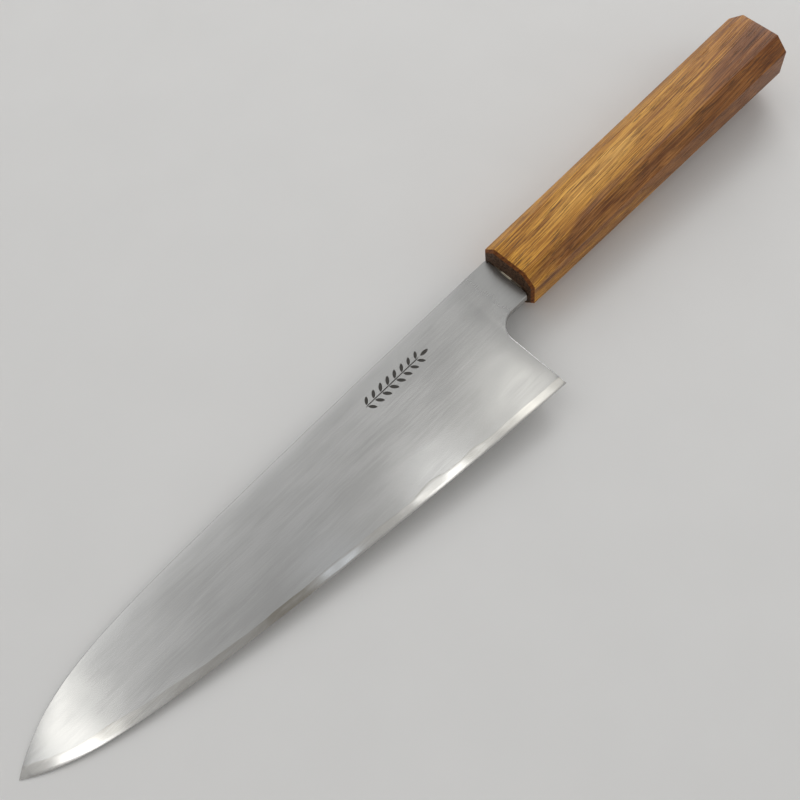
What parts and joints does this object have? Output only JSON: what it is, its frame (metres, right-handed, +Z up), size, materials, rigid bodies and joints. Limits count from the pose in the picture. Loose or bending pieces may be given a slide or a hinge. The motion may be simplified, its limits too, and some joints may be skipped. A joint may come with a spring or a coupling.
{
  "type": "chef knife",
  "caption": "Chef's knife with a laminated blade, curved belly and finger notch, its hidden tang glued into a plain octagonal wooden handle.",
  "frame": {"origin": "on the worktop, under the middle of the knife's bounding box as it lies on its right-hand side", "axes": "+X from the point towards the butt, +Y from the cutting edge towards the spine, +Z up, out of the blade's left side"},
  "size_m": [0.3624, 0.055, 0.0264],
  "materials": {
    "core_steel": "hard core steel, polished bevel, slightly darker and warmer than the cladding",
    "cladding_steel": "soft cladding steel, brushed satin along the blade",
    "handle_wood": "golden brown open-pored hardwood with dark streaks, oiled and semi-gloss",
    "adhesive": "set resin, amber and dull",
    "mouth_seal": "set sealing resin, pale and dull"
  },
  "bodies": {
    "root": {"core_steel": "core_steel", "cladding_left": "cladding_steel", "cladding_right": "cladding_steel", "handle": "handle_wood", "tang_adhesive": "adhesive", "mouth_seal": "mouth_seal"}
  },
  "joints": []
}
